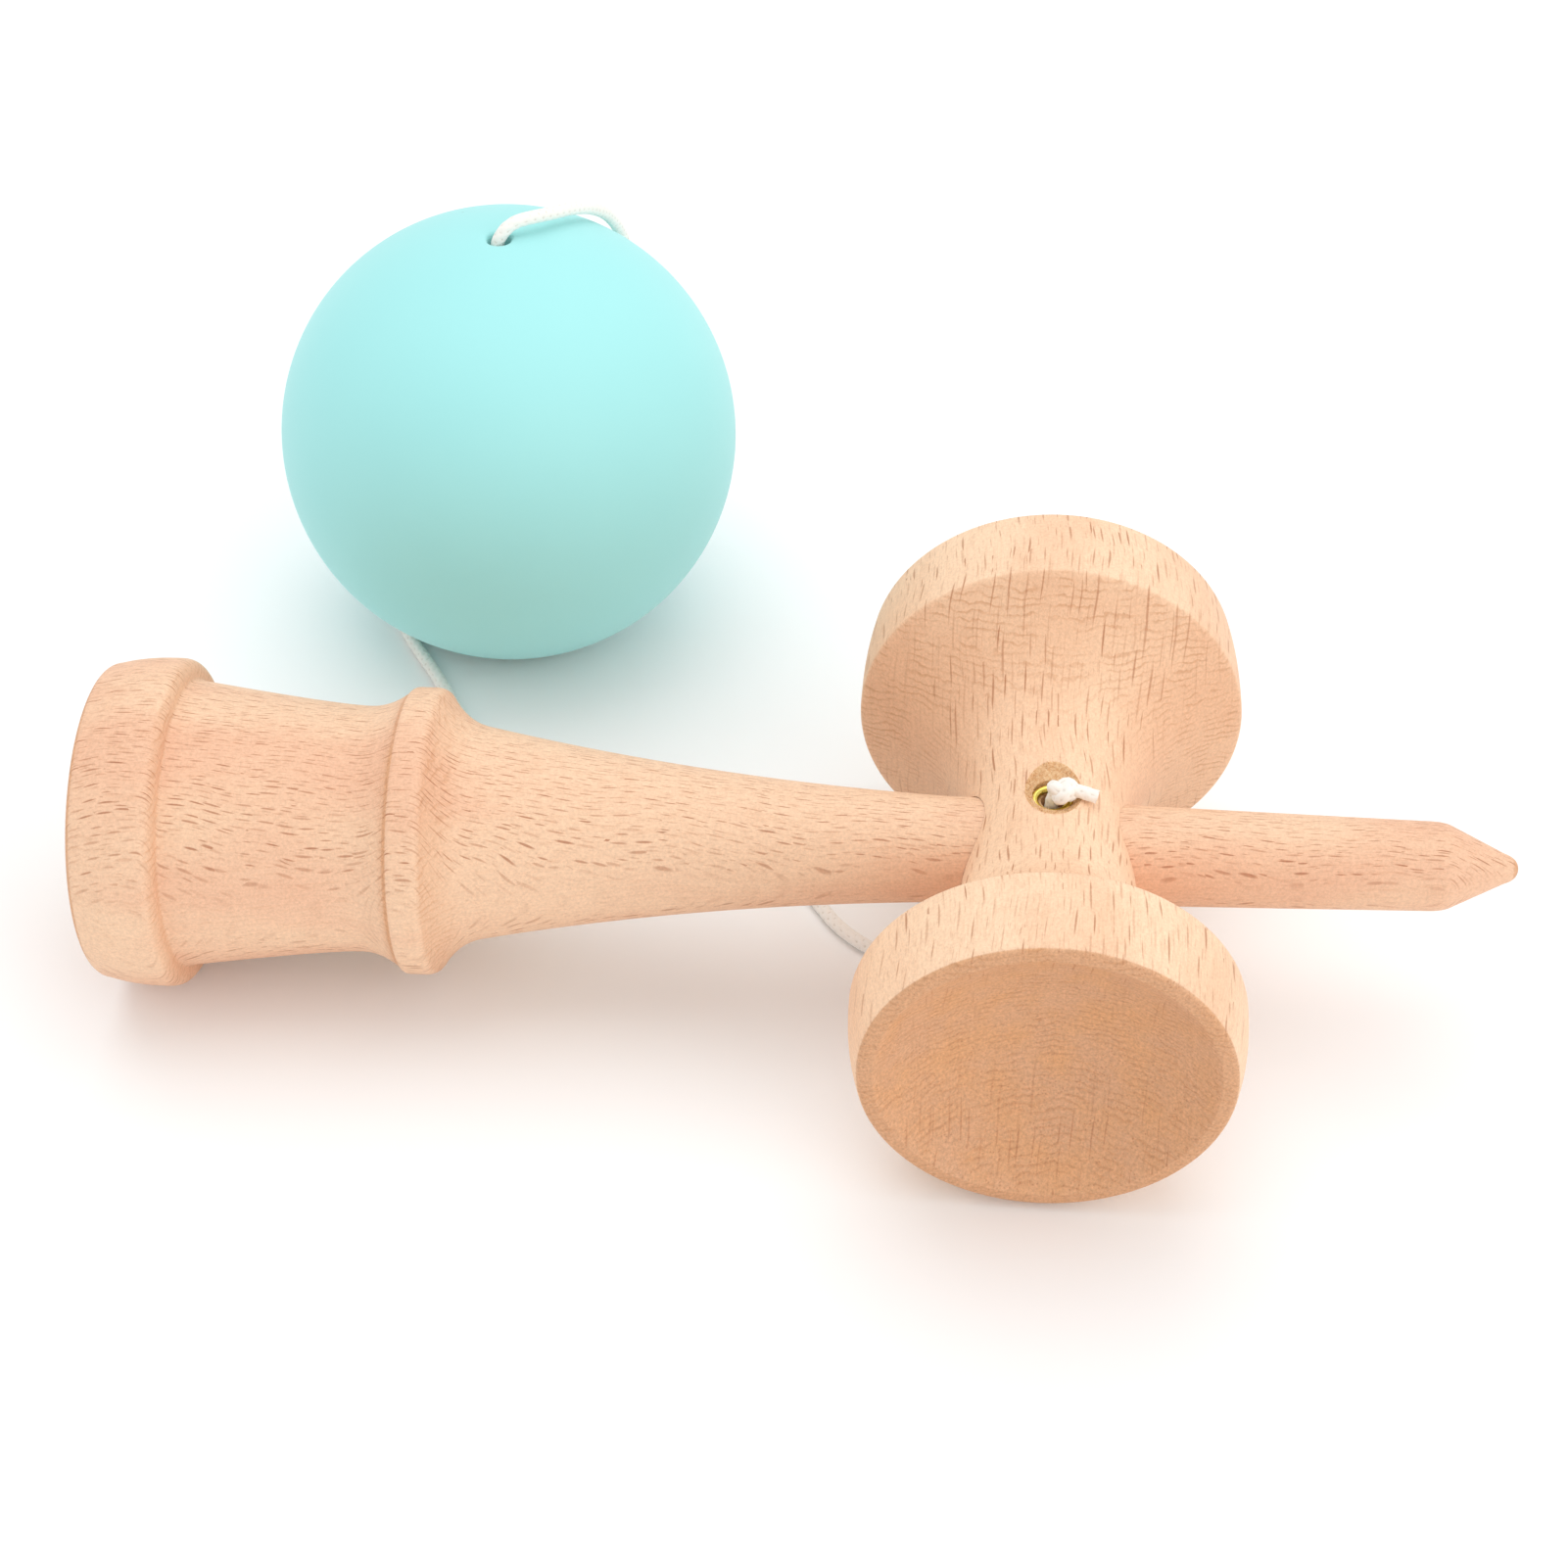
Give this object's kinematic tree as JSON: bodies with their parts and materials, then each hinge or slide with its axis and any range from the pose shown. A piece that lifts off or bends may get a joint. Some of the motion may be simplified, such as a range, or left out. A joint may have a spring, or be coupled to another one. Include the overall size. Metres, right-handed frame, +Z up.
{
  "type": "kendama",
  "caption": "Wooden cup-and-ball toy: turned handle with spike and base cup, cross piece with two cups, and a painted ball on a string.",
  "frame": {"origin": "on the ground, under the middle of the box round the handle, cup piece, ring and ball", "axes": "+X along the handle towards its spike, +Y from the small cup towards the big cup, +Z up"},
  "size_m": [0.1644, 0.1553, 0.0601],
  "materials": {
    "beech_handle": "sanded, unvarnished",
    "beech_cups": "sanded, unvarnished",
    "mint_paint": "matt rubbery paint on beech",
    "brass": "polished",
    "string": "braided, matt",
    "tie_thread": "twisted thread",
    "bead_wood": "sanded"
  },
  "bodies": {
    "ken_and_cups": {"ken": "beech_handle", "sarado": "beech_cups", "brass_ring": "brass", "sarado_knot": "string", "string_run": "string", "string_coil": "string", "coil_tie": "tie_thread"},
    "string_end": {"string_lead": "string", "tama_bead": "bead_wood", "bead_knot": "string"},
    "ball": {"tama": "mint_paint"}
  },
  "joints": [
    {"name": "tama_lift", "type": "slide", "parent": "ken_and_cups", "child": "string_end", "axis": [0, 0, 1], "range_m": [0, 0.14]},
    {"name": "tama_spin", "type": "hinge", "parent": "string_end", "child": "ball", "pos_m": [-0.04361, 0.03814, 0], "axis": [0, 0, 1], "continuous": true}
  ]
}
